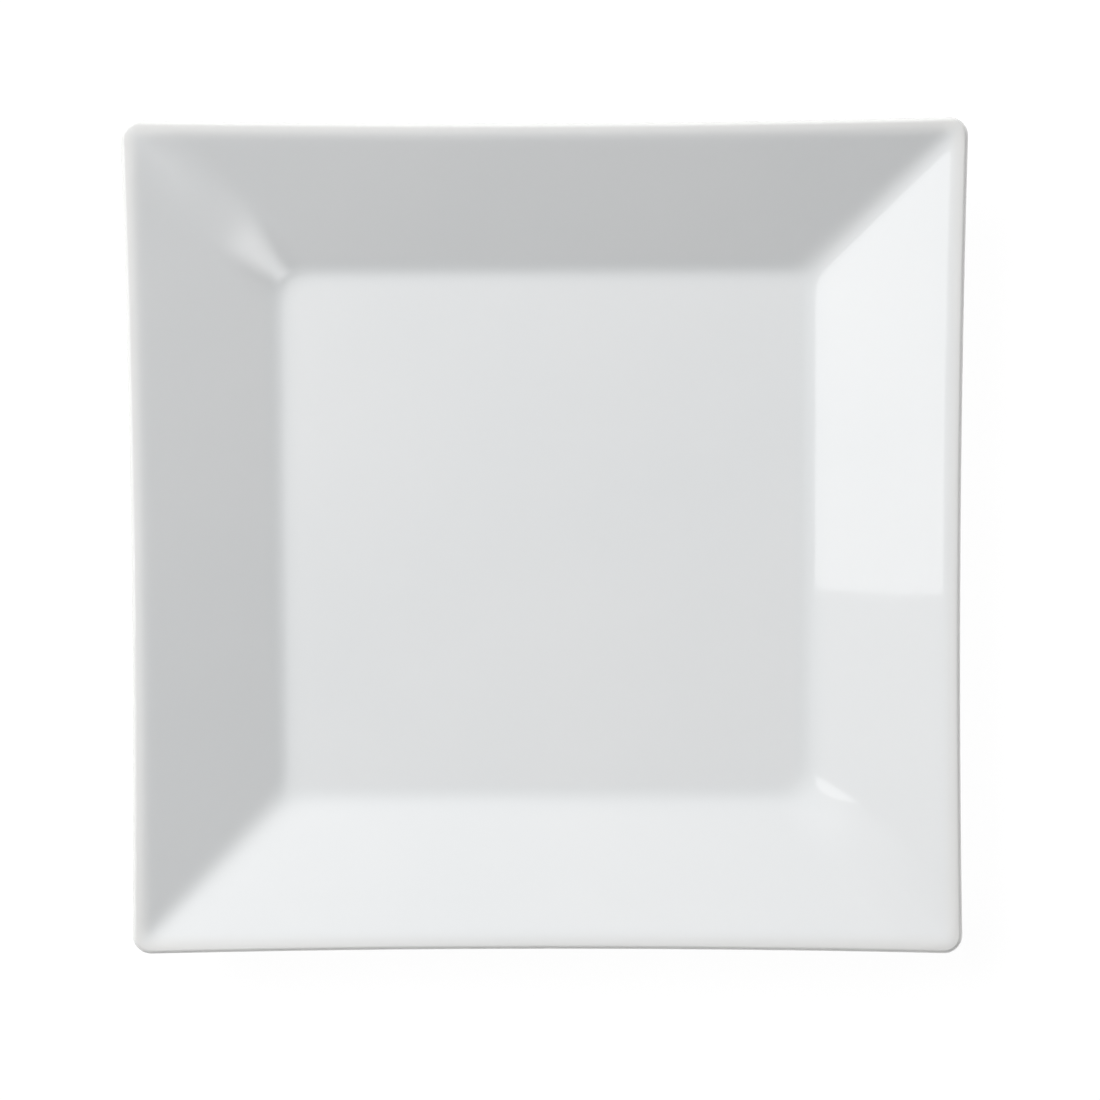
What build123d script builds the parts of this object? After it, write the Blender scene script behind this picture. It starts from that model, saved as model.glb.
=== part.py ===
"""Square dinner plate of white glazed porcelain, in millimetres.

A flat square well, four flat rim panels that rise from it and meet in soft mitre creases, a rounded lip
cut square to the panels, with sides that draw in a little between the corners, and a square foot ring
underneath.

The plate has no fasteners and nothing on it moves. It is made of three pieces: the fired porcelain body, and
the glass film that was melted onto it. The foot ring is wiped bare before firing, so the film is in two
separate pieces, one outside the ring and one inside it.

The origin is on the table under the middle of the plate, with +Z up.
"""

import os
from math import cos, radians, sin, tan

from build123d import *

# Plate, as measured over the glaze
plate_width = 250.0  # across the plate at its corners
side_bow = 1.3  # how far the middle of each side draws in
corner_radius = 6.0  # of the outline
well_width = 159.0  # across the flat floor, from crease to crease
rim_slope = 20.0  # of the rim panels, in degrees above the table
floor_thickness = 5.5
rim_thickness = 6.3
crease_radius = 17.0  # between the floor and the rim panels, and between one panel and the next
under_radius = 6.0  # along the same creases on the underside

# Lip
lip_under_radius = 1.8
lip_flat = 0.2  # width left straight between the lip's upper and lower rounds

# Foot ring, as measured over the glaze
foot_height = 2.5
foot_width = 4.0  # of the ring's wall
foot_setback = 1.0  # from the ring's root to where the underside starts to rise
foot_corner_radius = 15.0  # of the ring's outer wall
foot_edge = 0.4  # slanted edge along the ring's bare face

# Glaze
glaze_thickness = 0.3
bare_height = 0.8  # how far up its two walls the foot ring is wiped
root_pool = 1.0  # slanted corner where the glaze pools along the ring's root

slope = radians(rim_slope)
floor_level = foot_height + floor_thickness


def crease_shift(floor_move, rim_move):
    """How far a crease moves outward when its floor drops and its rim panel sinks square to itself."""
    return (rim_move / cos(slope) - floor_move) / tan(slope)


# The underside runs parallel to the upper face
base_width = well_width + 2 * crease_shift(floor_thickness, rim_thickness)
base_flat_width = base_width - 2 * under_radius * tan(slope / 2)

# The lip's edge stands square to the rim panels, and its upper round takes what the rest of the edge leaves
lip_upper_radius = rim_thickness - lip_flat - lip_under_radius

# From a crease to the lip's edge, along the panel: the plate is widest where the lower round stands upright
lip_overhang = rim_thickness * sin(slope) - lip_under_radius * (sin(slope) + cos(slope) - 1)
panel_length = ((plate_width - well_width) / 2 - lip_overhang) / cos(slope)

# The foot ring stands on the flat of the underside
foot_span = base_flat_width - 2 * (foot_setback + root_pool)

# The blocks that the plate is cut from reach well past it
stock_width = 2 * plate_width
stock_height = plate_width


def open_pyramid(width, level, radius):
    """A solid that opens upward at the rim's slope from a square of this width, with its edges rounded."""
    height = (stock_width - width) / 2 * tan(slope)
    with BuildPart() as pyramid:
        for plane, mode in ((Plane.XZ, Mode.ADD), (Plane.YZ, Mode.INTERSECT)):
            with BuildSketch(plane):
                with Locations((0, level)):
                    Trapezoid(stock_width, height, rim_slope, rotation=180, align=(Align.CENTER, Align.MAX))
            extrude(amount=stock_width / 2, both=True, mode=mode)
        mouth_edges = pyramid.edges().group_by(Axis.Z)[-1]
        fillet(pyramid.edges() - mouth_edges, radius)
    return pyramid.part


def lip_block(inset):
    """A tall block whose four bowed sides stand square to the rim panels, with its corners rounded."""
    half_side = plate_width / 2 - corner_radius
    bow = side_bow / cos(slope)
    bow_radius = (half_side**2 + bow**2) / (2 * bow)
    panel_plane = Plane(Location((0, well_width / 2, floor_level), (rim_slope, 0, 0)))
    with BuildPart() as side:
        with BuildSketch(panel_plane):
            Rectangle(stock_width, stock_width)
            with Locations((0, panel_length - bow + bow_radius)):
                Circle(bow_radius + inset, mode=Mode.SUBTRACT)
        extrude(amount=stock_width, both=True)
    with BuildPart() as block:
        Box(stock_width, stock_width, stock_height, align=(Align.CENTER, Align.CENTER, Align.MIN))
        for turn in (0, 90, 180, 270):
            add(side.part, rotation=(0, 0, turn), mode=Mode.INTERSECT)
        corner_edges = block.edges().group_by(Axis.Z)[1]
        fillet(corner_edges, corner_radius - inset)
    return block.part


def lip_edges(form):
    """The four bowed edges of the lip, from the lowest group to the highest."""
    bowed_edges = form.edges().filter_by(GeomType.CIRCLE).filter_by(lambda edge: edge.radius > plate_width)
    return bowed_edges.group_by(Axis.Z)


def plate_form(inset):
    """The plate as one solid, with each of its glazed faces set in by the inset."""
    panel_shift = crease_shift(inset, inset)
    hollow = open_pyramid(well_width + 2 * panel_shift, floor_level - inset, crease_radius + inset)
    underside = open_pyramid(base_width - 2 * panel_shift, foot_height + inset, under_radius - inset)
    block = lip_block(inset)
    with BuildPart() as form:
        add(underside)
        add(block, mode=Mode.INTERSECT)
        add(hollow, mode=Mode.SUBTRACT)
        fillet(lip_edges(form)[0], lip_under_radius - inset)
        fillet(lip_edges(form)[-1], lip_upper_radius - inset)
        with BuildSketch():
            for wall_inset, mode in ((inset, Mode.ADD), (foot_width - inset, Mode.SUBTRACT)):
                span = foot_span - 2 * wall_inset
                RectangleRounded(span, span, foot_corner_radius - wall_inset, mode=mode)
        extrude(amount=foot_height + inset)
    return form.part


glazed_form = plate_form(0.0)
fired_form = plate_form(glaze_thickness)

# Porcelain body
with BuildPart() as porcelain_body:
    add(fired_form)
    contact_face = porcelain_body.faces().sort_by(Axis.Z)[0]
    chamfer(contact_face.edges(), foot_edge)
porcelain_body.part.label = "porcelain_body"

# The film that covers the body down to the bare band of the foot ring
with BuildPart() as film:
    add(glazed_form)
    root_edges = film.edges().filter_by_position(Axis.Z, foot_height, foot_height)
    for axis in (Axis.X, Axis.Y):
        root_edges = root_edges.filter_by_position(axis, -foot_span / 2, foot_span / 2)
    chamfer(root_edges, root_pool)
    add(fired_form, mode=Mode.SUBTRACT)
    split(bisect_by=Plane.XY.offset(bare_height), keep=Keep.TOP)
film_pieces = film.solids().sort_by(SortBy.VOLUME)

# Glaze over the face, round the lip, under the rim and down the outside of the foot ring
with BuildPart() as glaze_coat:
    add(film_pieces[-1])
glaze_coat.part.label = "glaze_coat"

# Glaze on the underside within the foot ring
with BuildPart() as base_glaze:
    add(film_pieces[0])
base_glaze.part.label = "base_glaze"

os.makedirs("parts", exist_ok=True)
export_step(porcelain_body.part, "parts/porcelain_body.step")
export_step(glaze_coat.part, "parts/glaze_coat.step")
export_step(base_glaze.part, "parts/base_glaze.step")
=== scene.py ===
"""Looks of the square dinner plate.

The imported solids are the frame. Each of them is replaced by a finer closed mesh, so that the gloss runs
smoothly over the creases and the lip. The meshes keep the plate's form, and add what the solids leave out:
panels that level off toward a tighter lip, creases that vary along their length, and slight waves.

A mesh is a stack of rings, worked out in millimetres. Each ring goes once round the plate, with points that
crowd toward the corners.
"""

import math

import bpy
import numpy as np
from mathutils import Matrix, Vector


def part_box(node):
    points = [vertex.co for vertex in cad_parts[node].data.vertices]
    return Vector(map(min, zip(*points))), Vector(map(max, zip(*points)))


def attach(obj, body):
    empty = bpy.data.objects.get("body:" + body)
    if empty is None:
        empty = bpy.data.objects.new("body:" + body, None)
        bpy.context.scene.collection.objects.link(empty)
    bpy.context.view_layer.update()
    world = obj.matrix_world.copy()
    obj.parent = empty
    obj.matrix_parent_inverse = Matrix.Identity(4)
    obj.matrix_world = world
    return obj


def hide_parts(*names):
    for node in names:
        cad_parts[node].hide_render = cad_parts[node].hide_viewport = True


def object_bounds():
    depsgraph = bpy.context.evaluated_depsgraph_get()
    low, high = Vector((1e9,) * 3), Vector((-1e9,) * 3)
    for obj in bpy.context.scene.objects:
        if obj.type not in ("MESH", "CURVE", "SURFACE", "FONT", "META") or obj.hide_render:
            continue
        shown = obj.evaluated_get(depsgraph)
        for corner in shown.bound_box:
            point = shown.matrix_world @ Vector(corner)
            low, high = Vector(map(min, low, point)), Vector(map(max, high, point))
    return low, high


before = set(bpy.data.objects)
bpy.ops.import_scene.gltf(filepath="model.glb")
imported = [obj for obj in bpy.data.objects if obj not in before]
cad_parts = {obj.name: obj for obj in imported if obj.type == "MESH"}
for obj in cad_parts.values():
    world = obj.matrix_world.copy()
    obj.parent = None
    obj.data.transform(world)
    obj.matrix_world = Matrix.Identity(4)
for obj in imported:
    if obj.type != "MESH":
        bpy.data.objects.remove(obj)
cad_low, cad_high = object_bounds()

# Sizes over the glaze, in millimetres
MM = 0.001
half_width = cad_high.x / MM
side_bow = 1.3  # how far the middle of each side draws in
corner_radius = 6.0
crease_half = 79.5  # from the middle to the crease round the floor
rim_slope = math.radians(20)
floor_thickness = 5.5
rim_thickness = 6.3
lip_upper_radius = 1.4
lip_under_radius = 1.8
roll_width = 5.0  # of the outer band of the panels, which levels off toward the lip

# Height to which the creases are filled over their sharp corner
floor_fill = 0.26
mitre_fill = 0.58
mitre_end_fill = 0.38  # the mitres tighten toward the lip
under_fill = 0.10
fill_power = 3.0  # how quickly the fill falls off to either side

# Fill added where two of the mitres come down to a corner of the floor
scoop_fill = 1.5
scoop_place = 14.0  # out from that corner, where the most is added
scoop_start = 14.0  # length over which it comes in
scoop_end = 26.0  # length over which it fades outward
scoop_flatness = 1.7  # taken off the power there, so that the fill falls off more evenly

# Unevenness of the fired face
wave_height = 0.02
wave_length = 52.0

# Glaze
glaze_thickness = 0.3
bare_height = 0.8  # how far up its walls the foot ring is wiped
wipe_wander = 0.12  # how far the wiped edge of the glaze strays up and down
# Section of the wiped edge: depth into the film, and height over the wiped line
wiped_section = ((0.0, 0.25), (0.03, 0.10), (0.12, 0.02), (glaze_thickness, 0.0))

# Foot ring
foot_height = 2.5
foot_width = 4.0
foot_corner_radius = 15.0
root_pool = 1.0  # radius of the glaze along the ring's root
contact_round = 0.4  # along the ring's bare face
foot_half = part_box("base_glaze")[1].x / MM + foot_width - glaze_thickness

# Points of a ring, along each side and round each corner, and how much of their spacing is even
SIDE_STEPS = 80
CORNER_STEPS = 20
side_evenness = 0.28
corner_evenness = 0.5

# Rings on each stretch of the meshes
FLOOR_RINGS = 21
CREASE_RINGS = 20
PANEL_RINGS = 26
UPPER_LIP_STEPS = 18
LOWER_LIP_STEPS = 9
UNDER_PANEL_RINGS = 8
UNDER_CREASE_RINGS = 9
ROOT_STEPS = 7
CONTACT_STEPS = 5
FLAT_RINGS = 16
HIDDEN_FLAT_RINGS = 6
HIDDEN_EVERY = 4  # the fired face takes one in so many of the rings of the glaze above it

# Layout of the rings
floor_crowding = 0.75  # below 1, the rings of the floor draw closer toward its crease
middle_round = 0.5  # corner radius of the innermost rings, as a share of their half width
crease_round = 5.0  # corner radius of the rings along the creases
crease_reach = 5.5  # of the close rings, to each side of the floor's crease
under_reach_out = 2.5  # of the close rings on the underside, outward from its crease
under_reach_in = 1.5  # and inward
hub_half = 4.0  # half width of the innermost ring within the foot
wall_ring_above = 0.4  # from the wiped line up to the nearest ring of the clay
wall_ring_below = 0.1  # and down

floor_level = foot_height + floor_thickness
root_level = foot_height + glaze_thickness
inner_wall = foot_width - glaze_thickness
rise = math.tan(rim_slope)


def crease_shift(floor_move, rim_move):
    """How far a crease moves outward when its floor drops and its rim panel sinks square to itself."""
    return (rim_move / math.cos(rim_slope) - floor_move) / rise


base_half = crease_half + crease_shift(floor_thickness, rim_thickness)

bow_half = half_width - corner_radius
bow_radius = (bow_half**2 + side_bow**2) / (2 * side_bow)
roll_radius = (roll_width - lip_upper_radius) / rise


# Distance from the lip's edge, which is negative inside the plate
def rounded_corner(a, b, radius):
    """Distance to two faces that meet in a corner of this radius."""
    inside = np.minimum(np.maximum(a, b) + radius, 0)
    return inside + np.hypot(np.maximum(a + radius, 0), np.maximum(b + radius, 0)) - radius


def edge_distance(x, y, radius=corner_radius):
    """Distance outward from the bowed edge of the lip, with its corners rounded to this radius."""
    sides = []
    for out, along in ((np.abs(x), np.abs(y)), (np.abs(y), np.abs(x))):
        sides.append(bow_radius - np.hypot(along, half_width - side_bow + bow_radius - out))
    return rounded_corner(sides[0], sides[1], radius)


# Heights of the two faces
def smooth_max(a, b, fill, power=fill_power):
    """The greater of two heights, with the crease between them filled to this height."""
    reach = 2 * power * fill
    overlap = np.clip(1 - np.abs(a - b) / reach, 0, None)
    return np.maximum(a, b) + fill * overlap**power


def waves(x, y):
    """Slight unevenness, without which a panel would reflect a lamp with a ruled edge.

    The factors differ enough that the pattern doesn't repeat within the plate.
    """
    a = 2 * math.pi * x / wave_length
    b = 2 * math.pi * y / wave_length
    slow = np.sin(0.45 * a + 0.9 * np.sin(0.38 * b) + 0.4) + np.sin(0.5 * b + 0.8 * np.sin(0.41 * a) + 2.0)
    quick = np.sin(1.1 * a + 0.7 * b + 1.7) + np.sin(1.3 * b - 0.6 * a + 0.9)
    return wave_height * (slow + 0.35 * quick)


def top_height(x, y):
    side_x = (np.abs(x) - crease_half) * rise
    side_y = (np.abs(y) - crease_half) * rise
    along = (np.abs(x) + np.abs(y)) / 2 - crease_half
    from_scoop = (along - scoop_place) / np.where(along < scoop_place, scoop_start, scoop_end)
    scoop = np.where(x * y < 0, np.exp(-(from_scoop**2)), 0)
    fill = np.interp(along, (0, half_width - crease_half), (mitre_fill, mitre_end_fill)) + scoop_fill * scoop
    rim = smooth_max(side_x, side_y, fill, fill_power - scoop_flatness * scoop)
    panels = floor_level + smooth_max(rim, 0 * rim, floor_fill)
    roll = np.clip(roll_width + edge_distance(x, y, roll_width), 0, None) ** 2 / (2 * roll_radius)
    return panels - roll + waves(x, y)


def under_height(x, y):
    side_x = (np.abs(x) - base_half) * rise
    side_y = (np.abs(y) - base_half) * rise
    rim = smooth_max(side_x, side_y, under_fill)
    return foot_height + smooth_max(rim, 0 * rim, under_fill)


# Slopes and signed distances, which are negative inside the plate
def slope_of(height, x, y):
    step = 0.01
    slope_x = (height(x + step, y) - height(x - step, y)) / (2 * step)
    slope_y = (height(x, y + step) - height(x, y - step)) / (2 * step)
    return slope_x, slope_y


def face_distance(p, height, facing):
    """Distance outward from the upper face (facing 1) or the underside (facing -1)."""
    x, y, z = p.T
    slope_x, slope_y = slope_of(height, x, y)
    return facing * (z - height(x, y)) / np.sqrt(1 + slope_x**2 + slope_y**2)


def unit(v):
    return v / np.linalg.norm(v, axis=-1, keepdims=True)


def face_normal(p, height, facing):
    slope_x, slope_y = slope_of(height, p[:, 0], p[:, 1])
    return facing * unit(np.stack([-slope_x, -slope_y, np.ones_like(slope_x)], axis=1))


def edge_normal(x, y):
    slope_x, slope_y = slope_of(edge_distance, x, y)
    return unit(np.stack([slope_x, slope_y, 0 * slope_x], axis=1))


def crossing(value, low, high):
    """Where each of many rising values passes zero between low and high."""
    halvings = 48
    low, high = np.broadcast_arrays(np.asarray(low, float), np.asarray(high, float))
    for _ in range(halvings):
        middle = (low + high) / 2
        past = value(middle) > 0
        low = np.where(past, low, middle)
        high = np.where(past, middle, high)
    return (low + high) / 2


# Rings, each of four like quarters as seen from above
spread = np.linspace(-1, 1, SIDE_STEPS + 1)
side_places = side_evenness * spread + (1 - side_evenness) * np.sin(spread * math.pi / 2)
turn = np.linspace(-1, 1, CORNER_STEPS + 1)[1:-1]
corner_turns = math.pi / 4 * (1 + corner_evenness * turn + (1 - corner_evenness) * turn**3)
corner_ways = np.stack([np.cos(corner_turns), np.sin(corner_turns)], axis=1)


def four_quarters(quarter):
    x, y = quarter.T
    turns = ((x, y), (-y, x), (-x, -y), (y, -x))
    return np.concatenate([np.stack(turned, axis=1) for turned in turns])


def square_plan(half, radius):
    """A square with round corners, seen from above."""
    straight = half - radius
    side = np.stack([np.full_like(side_places, half), straight * side_places], axis=1)
    return four_quarters(np.concatenate([side, straight + radius * corner_ways]))


def square_ring(half, radius, z):
    plan = square_plan(half, radius)
    return np.column_stack([plan, np.full(len(plan), z)])


def face_ring(plan, height):
    return np.column_stack([plan, height(*plan.T)])


def edge_plan(depth):
    """The line that lies this far in from the lip's edge, seen from above."""
    # The points of a corner fan out from near the middle of its round
    fan_depth = 0.999 * corner_radius
    fan_middle = crossing(lambda q: edge_distance(q, q) + fan_depth, np.full(1, crease_half), half_width)[0]
    along = fan_middle * side_places
    farthest = half_width + corner_radius
    out = crossing(lambda x: edge_distance(x, along) + depth, crease_half + 0 * along, farthest)

    def past_line(reach):
        return edge_distance(*(fan_middle + reach * corner_ways.T)) + depth

    reach = crossing(past_line, np.zeros(len(corner_ways)), 2 * corner_radius)
    side = np.stack([out, along], axis=1)
    return four_quarters(np.concatenate([side, fan_middle + reach[:, None] * corner_ways]))


def lip_rings(height, facing, radius, steps):
    """Rings round the lip from the line where it leaves a face to its edge, and that line's plan."""
    plan = edge_plan(radius)
    start = face_ring(plan, height)
    up = face_normal(start, height, facing)
    centre = start - radius * up
    out = edge_normal(*plan.T)
    out = unit(out - np.sum(out * up, axis=1, keepdims=True) * up)
    nearest = np.full(len(start), 0.3 * radius)
    farthest = 2.5 * radius
    rings = []
    for angle in np.linspace(0, math.pi / 2, steps + 1):
        way = math.cos(angle) * up + math.sin(angle) * out

        def past_lip(reach):
            p = centre + reach[:, None] * way
            return rounded_corner(face_distance(p, height, facing), edge_distance(p[:, 0], p[:, 1]), radius)

        reach = crossing(past_lip, nearest, farthest)
        rings.append(centre + reach[:, None] * way)
    return rings, plan


def between(plan_a, plan_b, steps, height):
    """Rings on a face between two plans, without the plans themselves."""
    shares = np.linspace(0, 1, steps + 2)[1:-1]
    return [face_ring(plan_a + share * (plan_b - plan_a), height) for share in shares]


def face_rings(halves, height, radii):
    """Square rings on a face, with these half widths and with one corner radius or one for each."""
    radii = np.broadcast_to(radii, halves.shape)
    return [face_ring(square_plan(half, radius), height) for half, radius in zip(halves, radii)]


def glazed_skin():
    """Rings over the glaze from the middle of the floor, over the lip, to the flat of the underside."""
    # The rings are well rounded in the middle of the floor and nearly square along its crease
    shares = np.linspace(0, 1, FLOOR_RINGS + 1)[1:] ** floor_crowding
    floor_halves = shares * (crease_half - crease_reach)
    floor_radii = crease_round + (1 - shares**3) * (middle_round * floor_halves - crease_round)
    floor_part = face_rings(floor_halves, top_height, floor_radii)
    crease_halves = crease_half + np.linspace(-crease_reach, crease_reach, CREASE_RINGS + 1)[1:]
    crease = face_rings(crease_halves, top_height, crease_round)

    upper_lip, upper_plan = lip_rings(top_height, 1, lip_upper_radius, UPPER_LIP_STEPS)
    panel_start = square_plan(crease_half + crease_reach, crease_round)
    panel = between(panel_start, upper_plan, PANEL_RINGS, top_height)
    lower_lip, lower_plan = lip_rings(under_height, -1, lip_under_radius, LOWER_LIP_STEPS)

    under_halves = base_half + np.linspace(under_reach_out, -under_reach_in, UNDER_CREASE_RINGS)
    under_panel_end = square_plan(under_halves[0], crease_round)
    under_panel = between(lower_plan, under_panel_end, UNDER_PANEL_RINGS, under_height)
    under_crease = face_rings(under_halves, under_height, crease_round)
    return floor_part + crease + panel + upper_lip + lower_lip[::-1] + under_panel + under_crease


def sunk(rings, depth, every):
    """Every so many of these rings, moved this far into the plate."""
    stack = np.stack(rings)
    along = np.roll(stack, -1, axis=1) - np.roll(stack, 1, axis=1)
    across = np.gradient(stack, axis=0)
    inward = -unit(np.cross(across, along))
    picked = sorted({*range(0, len(rings), every), len(rings) - 1})
    return [stack[k] + depth * inward[k] for k in picked]


def foot_ring(setback, z):
    """A ring on the foot, this far in from its outer wall."""
    return square_ring(foot_half - setback, foot_corner_radius - setback, z)


def flat_rings(setback, z, count):
    """Rings over the flat within the foot, from its wall to the middle."""
    halves = np.linspace(foot_half - setback, hub_half, count)
    start = foot_corner_radius - setback
    return [square_ring(half, start * half / halves[0], z) for half in halves]


def wiped(ring):
    """A ring of the glaze's lower edge, which strays where it was wiped by hand."""
    angle = np.arctan2(ring[:, 1], ring[:, 0])
    stray = np.sin(7 * angle + 0.6) + 0.6 * np.sin(17 * angle + 2.1) + 0.4 * np.sin(31 * angle)
    return ring + np.stack([0 * stray, 0 * stray, wipe_wander * (0.5 + stray / 4)], axis=1)


def film_edge(setback, inward):
    """Rings down a glazed wall of the foot: out of the root pool, down the wall and round the wiped edge."""
    rings = []
    for angle in np.linspace(0, math.pi / 2, ROOT_STEPS + 1):
        back = root_pool * (1 - math.sin(angle))
        rings.append(foot_ring(setback - inward * back, foot_height - root_pool * (1 - math.cos(angle))))
    for depth, lift in wiped_section:
        rings.append(wiped(foot_ring(setback + inward * depth, bare_height + lift)))
    return rings


def contact_rings():
    """Rings round the foot's clay, down its outer wall, over its bare face and up its inner wall."""
    levels = (root_level, bare_height + wall_ring_above, bare_height - wall_ring_below)
    wall = [(glaze_thickness, level) for level in levels]
    for angle in np.linspace(0, math.pi / 2, CONTACT_STEPS + 1):
        turned_in = contact_round * (1 - math.cos(angle))
        wall.append((glaze_thickness + turned_in, contact_round * (1 - math.sin(angle))))
    wall += [(foot_width - setback, z) for setback, z in wall[::-1]]
    return [foot_ring(setback, z) for setback, z in wall]


# Meshes
def closed_mesh(name, rings):
    """A closed mesh over a stack of rings, with a fan at each end."""
    count = len(rings[0])
    caps = [rings[0].mean(axis=0), rings[-1].mean(axis=0)]
    points = np.concatenate([*rings, caps]) * MM
    here = np.arange(count)
    after = (here + 1) % count
    faces = []
    for k in range(len(rings) - 1):
        a, b = k * count, (k + 1) * count
        faces += np.stack([a + here, b + here, b + after, a + after], axis=1).tolist()
    first, last = len(points) - 2, len(points) - 1
    end = (len(rings) - 1) * count
    faces += np.stack([np.full(count, first), here, after], axis=1).tolist()
    faces += np.stack([end + here, np.full(count, last), end + after], axis=1).tolist()
    mesh = bpy.data.meshes.new(name)
    mesh.from_pydata(points.tolist(), [], faces)
    mesh.polygons.foreach_set("use_smooth", np.ones(len(faces), bool))
    mesh.update()
    made = bpy.data.objects.new(name, mesh)
    bpy.context.scene.collection.objects.link(made)
    return made


outer_skin = glazed_skin()
inner_skin = sunk(outer_skin, glaze_thickness, HIDDEN_EVERY)
hidden_flat = flat_rings(inner_wall, root_level, HIDDEN_FLAT_RINGS)

plate_glaze = closed_mesh(
    "plate_glaze",
    [
        *outer_skin,
        *film_edge(0.0, 1),
        foot_ring(glaze_thickness, root_level),
        *inner_skin[::-1],
    ],
)

base_film = closed_mesh(
    "base_film",
    [
        *hidden_flat[::-1],
        *film_edge(foot_width, -1)[::-1],
        *flat_rings(foot_width + root_pool, foot_height, FLAT_RINGS)[1:],
    ],
)

fired_body = closed_mesh(
    "fired_body",
    [
        *inner_skin,
        *contact_rings(),
        *hidden_flat[1:],
    ],
)

# Reach of the tints, in millimetres
pool_core = 1.0  # from the crease, where the film is deepest
pool_reach = 6.0
thin_start = 7.0  # in from the lip's edge
thin_end = 1.0
rub_height = 0.2  # over the table
flash_start = 0.5  # over the table; the flash is strongest at the wiped line

# Colours
GLAZE_DEEP = (0.785, 0.800, 0.808, 1)
GLAZE_PALE = (0.800, 0.812, 0.818, 1)
GLAZE_POOLED = (0.770, 0.790, 0.800, 1)
GLAZE_THIN = (0.815, 0.808, 0.790, 1)
CLAY_DARK = (0.74, 0.71, 0.66, 1)
CLAY_PALE = (0.84, 0.82, 0.78, 1)
CLAY_RUBBED = (0.58, 0.55, 0.50, 1)
CLAY_FLASHED = (0.78, 0.66, 0.50, 1)


# Shader nodes
def new_material(name):
    material = bpy.data.materials.new(name)
    material.use_nodes = True
    nodes = material.node_tree.nodes
    return material, material.node_tree, nodes["Principled BSDF"]


def fill_socket(tree, socket, value):
    if isinstance(value, bpy.types.NodeSocket):
        tree.links.new(value, socket)
    else:
        socket.default_value = value


def add_node(tree, kind, inputs=None, **settings):
    node = tree.nodes.new(kind)
    for key, value in settings.items():
        setattr(node, key, value)
    for key, value in (inputs or {}).items():
        fill_socket(tree, node.inputs[key], value)
    return node


def noise(tree, place, scale, detail):
    made = add_node(tree, "ShaderNodeTexNoise", {"Vector": place, "Scale": scale, "Detail": detail})
    return made.outputs["Fac"]


def ramp(tree, value, low, high, to_low=0.0, to_high=1.0):
    inputs = {"Value": value, "From Min": low, "From Max": high, "To Min": to_low, "To Max": to_high}
    return add_node(tree, "ShaderNodeMapRange", inputs, interpolation_type="SMOOTHSTEP").outputs["Result"]


def math_node(tree, operation, *values):
    inputs = dict(enumerate(values))
    return add_node(tree, "ShaderNodeMath", inputs, operation=operation).outputs["Value"]


def mix(tree, share, color_a, color_b):
    made = add_node(tree, "ShaderNodeMix", data_type="RGBA")
    fill_socket(tree, made.inputs["Factor"], share)
    # The node has sockets of the same name for each type of data, so the colours go by number
    fill_socket(tree, made.inputs[6], color_a)
    fill_socket(tree, made.inputs[7], color_b)
    return made.outputs[2]


def split_place(tree, place):
    return add_node(tree, "ShaderNodeSeparateXYZ", {"Vector": place}).outputs


def farther_side(tree, place):
    """How far a place is from the middle of the plate, along X or Y, whichever is more."""
    split = split_place(tree, place)
    return math_node(tree, "MAXIMUM", *[math_node(tree, "ABSOLUTE", split[axis]) for axis in ("X", "Y")])


# Materials
def white_glaze():
    material, tree, shader = new_material("white_glaze")
    place = add_node(tree, "ShaderNodeTexCoord").outputs["Object"]
    out = farther_side(tree, place)

    # Cloudy tone, deeper where the film pools along the floor's crease and warmer where it thins at the lip
    cloud = ramp(tree, noise(tree, place, scale=11.0, detail=3.0), 0.3, 0.7)
    tone = mix(tree, cloud, GLAZE_DEEP, GLAZE_PALE)
    from_crease = math_node(tree, "ABSOLUTE", math_node(tree, "SUBTRACT", out, crease_half * MM))
    pooled = ramp(tree, from_crease, pool_core * MM, pool_reach * MM, to_low=0.5, to_high=0.0)
    tone = mix(tree, pooled, tone, GLAZE_POOLED)
    thin_from = (half_width - thin_start) * MM
    thin_to = (half_width - thin_end) * MM
    thin = ramp(tree, out, thin_from, thin_to, to_low=0.0, to_high=0.7)
    tone = mix(tree, thin, tone, GLAZE_THIN)
    tree.links.new(tone, shader.inputs["Base Color"])

    # Gloss that varies a little, over fine ripples
    shine = noise(tree, place, scale=60.0, detail=4.0)
    roughness = ramp(tree, shine, 0.25, 0.75, to_low=0.02, to_high=0.035)
    tree.links.new(roughness, shader.inputs["Roughness"])
    ripple = noise(tree, place, scale=120.0, detail=2.0)
    bump = add_node(tree, "ShaderNodeBump", {"Height": ripple, "Distance": 0.01 * MM})
    tree.links.new(bump.outputs["Normal"], shader.inputs["Normal"])
    shader.inputs["IOR"].default_value = 1.52
    return material


def bare_porcelain():
    material, tree, shader = new_material("bare_porcelain")
    place = add_node(tree, "ShaderNodeTexCoord").outputs["Object"]
    height = split_place(tree, place)["Z"]

    # Grain, stains where the face rubs on the table, and a warm edge next to the glaze
    grain = noise(tree, place, scale=2500.0, detail=3.0)
    tone = mix(tree, grain, CLAY_DARK, CLAY_PALE)
    stain = ramp(tree, noise(tree, place, scale=90.0, detail=4.0), 0.45, 0.7)
    near_table = ramp(tree, height, 0.0, rub_height * MM, to_low=0.5, to_high=0.0)
    tone = mix(tree, math_node(tree, "MULTIPLY", near_table, stain), tone, CLAY_RUBBED)
    flash = ramp(tree, height, flash_start * MM, bare_height * MM, to_low=0.0, to_high=0.5)
    tone = mix(tree, flash, tone, CLAY_FLASHED)
    tree.links.new(tone, shader.inputs["Base Color"])

    roughness = ramp(tree, grain, 0.2, 0.8, to_low=0.62, to_high=0.82)
    tree.links.new(roughness, shader.inputs["Roughness"])
    bump = add_node(tree, "ShaderNodeBump", {"Height": grain, "Distance": 0.05 * MM})
    tree.links.new(bump.outputs["Normal"], shader.inputs["Normal"])
    return material


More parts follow.
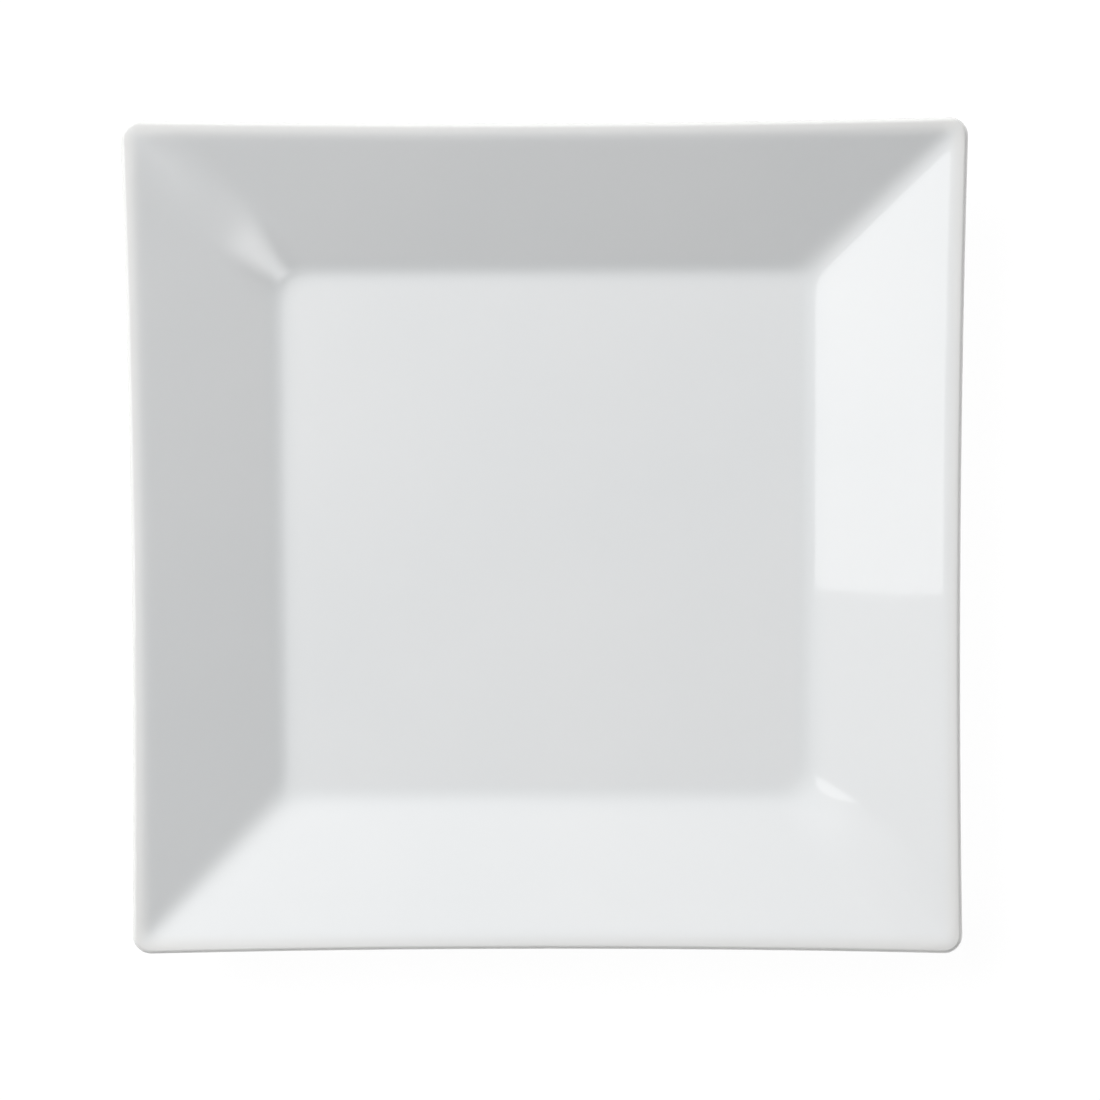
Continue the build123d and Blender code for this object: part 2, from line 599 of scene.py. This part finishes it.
glaze_look = white_glaze()
for piece, node in ((plate_glaze, "glaze_coat"), (base_film, "base_glaze")):
    piece.data.materials.append(glaze_look)
    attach(piece, "root")
    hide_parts(node)

fired_body.data.materials.append(bare_porcelain())
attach(fired_body, "root")
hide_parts("porcelain_body")

# Floor and a low wall round it, white to the camera, with a faint shadow
wall_radius = 9.0
wall_height = 1.7
floor_width = 2.2 * wall_radius
floor_glow = 1.5  # lifts the shaded outside of the lip
glow_fade = 0.03  # width of the band over which that glow comes in
hidden_grey = 0.50  # of the stage to the light that it throws back on the plate
seen_grey = 0.11  # of the stage to the camera: what a shadow can take away from its white
seen_glow = 0.95  # the rest of that white


def pale_stage(name, glow):
    """White in the picture and in the glaze, and grey to other rays, with this glow at the front and right."""
    material = bpy.data.materials.new(name)
    material.use_nodes = True
    tree = material.node_tree
    tree.nodes.clear()
    path = add_node(tree, "ShaderNodeLightPath").outputs
    seen = path["Is Camera Ray"]
    for other in ("Is Glossy Ray", "Is Transmission Ray"):
        seen = math_node(tree, "MAXIMUM", seen, path[other])

    # The glow stays out from under the plate
    place = add_node(tree, "ShaderNodeNewGeometry").outputs["Position"]
    split = split_place(tree, place)
    front_right = math_node(tree, "SUBTRACT", split["X"], split["Y"])
    beside = ramp(tree, farther_side(tree, place), half_width * MM, half_width * MM + glow_fade)
    share = math_node(tree, "MULTIPLY", beside, ramp(tree, front_right, -glow_fade, glow_fade))
    hidden_glow = math_node(tree, "MULTIPLY", share, glow)

    looks = []
    for grey, strength in ((hidden_grey, hidden_glow), (seen_grey, seen_glow)):
        cloth = add_node(tree, "ShaderNodeBsdfDiffuse", {"Color": (grey, grey, grey, 1)})
        light = add_node(tree, "ShaderNodeEmission", {"Strength": strength})
        looks.append(add_node(tree, "ShaderNodeAddShader", {0: light.outputs[0], 1: cloth.outputs[0]}))
    both = add_node(tree, "ShaderNodeMixShader", {0: seen, 1: looks[0].outputs[0], 2: looks[1].outputs[0]})
    add_node(tree, "ShaderNodeOutputMaterial", {"Surface": both.outputs[0]})
    return material


bpy.ops.mesh.primitive_plane_add(size=floor_width)
floor = bpy.context.object
floor.name = "floor"
floor.data.materials.append(pale_stage("pale_floor", floor_glow))

bpy.ops.mesh.primitive_cylinder_add(
    vertices=96,
    radius=wall_radius,
    depth=wall_height,
    end_fill_type="NOTHING",
    location=(0, 0, wall_height / 2),
)
wall = bpy.context.object
wall.name = "wall"
wall.data.materials.append(pale_stage("pale_wall", 0.0))


# Lamps
def soft_box(name, toward, upward, distance, width, height, radiance, soft, mirrored=True):
    """A rectangular lamp that faces the plate from this way, in metres.

    Its light fades out toward its edges over this soft share of its width and height. A lamp that isn't
    mirrored lights the plate but isn't seen in the glaze.
    """
    back = Vector(toward).normalized()
    across = Vector(upward).cross(back).normalized()
    facing = Matrix((across, back.cross(across), back)).transposed()
    lamp = bpy.data.lights.new(name, "AREA")
    lamp.shape = "RECTANGLE"
    lamp.size = width
    lamp.size_y = height
    lamp.energy = radiance * math.pi * width * height
    lamp.use_nodes = True
    tree = lamp.node_tree
    split = split_place(tree, add_node(tree, "ShaderNodeNewGeometry").outputs["Parametric"])
    share = 1.0
    for axis in ("X", "Y"):
        for low, high in ((0.0, soft), (1.0, 1.0 - soft)):
            share = math_node(tree, "MULTIPLY", share, ramp(tree, split[axis], low, high))
    tree.links.new(share, tree.nodes["Emission"].inputs["Strength"])
    made = bpy.data.objects.new(name, lamp)
    made.matrix_world = facing.to_4x4()
    made.location = back * distance
    made.visible_glossy = mirrored
    bpy.context.scene.collection.objects.link(made)


# A box at the left, whose edge shows on the right panel
soft_box(
    "key",
    toward=(-0.64, 0.36, 0.68),
    upward=(0, 1, 0),
    distance=1.0,
    width=0.71,
    height=1.11,
    radiance=1.8,
    soft=0.003,
)
# A soft one at the front right, which shows in the scooped mitres
soft_box(
    "strip",
    toward=(0.303, -0.417, 0.857),
    upward=(0, 0, 1),
    distance=3.0,
    width=1.5,
    height=1.2,
    radiance=4.0,
    soft=0.46,
)
# A dim one overhead, which shows in the floor of the plate
soft_box(
    "ceiling",
    toward=(-0.016, -0.10, 0.99),
    upward=(0, 1, 0),
    distance=1.5,
    width=0.66,
    height=0.66,
    radiance=0.42,
    soft=0.25,
)
# Two broad ones behind
soft_box(
    "left_back",
    toward=(-0.572, 0.572, 0.588),
    upward=(0, 0, 1),
    distance=5.0,
    width=5.0,
    height=2.0,
    radiance=6.9,
    soft=0.06,
    mirrored=False,
)
soft_box(
    "back",
    toward=(0, 0.80, 0.60),
    upward=(0, 0, 1),
    distance=5.0,
    width=7.5,
    height=2.0,
    radiance=2.15,
    soft=0.06,
    mirrored=False,
)

sky_strength = 0.04
world = bpy.data.worlds.new("studio")
world.use_nodes = True
sky = world.node_tree.nodes["Background"]
sky.inputs["Color"].default_value = (1, 1, 1, 1)
sky.inputs["Strength"].default_value = sky_strength
bpy.context.scene.world = world

# Camera, nearly straight above, as fitted to the outline and the crease in the photograph
PHOTO_SIZE = 1100
SENSOR = 36.0
camera_distance = 1.1
camera_pitch = math.radians(5.6)
camera_yaw = math.radians(0.9)
camera_roll = math.radians(-0.23)
focal_pixels = 3617
plate_middle = (546.3, 533.6)  # in the photograph

back = Vector((math.sin(camera_yaw), math.sin(camera_pitch) * math.cos(camera_yaw), 0))
back.z = math.cos(camera_pitch) * math.cos(camera_yaw)
right = Vector((0, 1, 0)).cross(back).normalized()
turned = Matrix((right, back.cross(right), back)).transposed() @ Matrix.Rotation(camera_roll, 3, "Z")
camera = bpy.data.objects.new("camera", bpy.data.cameras.new("camera"))
camera.matrix_world = turned.to_4x4()
camera.location = back * camera_distance
camera.data.sensor_width = SENSOR
camera.data.lens = focal_pixels / PHOTO_SIZE * SENSOR
camera.data.shift_x = 0.5 - plate_middle[0] / PHOTO_SIZE
camera.data.shift_y = plate_middle[1] / PHOTO_SIZE - 0.5
bpy.context.scene.collection.objects.link(camera)
bpy.context.scene.camera = camera
bpy.context.scene.view_settings.view_transform = "Standard"
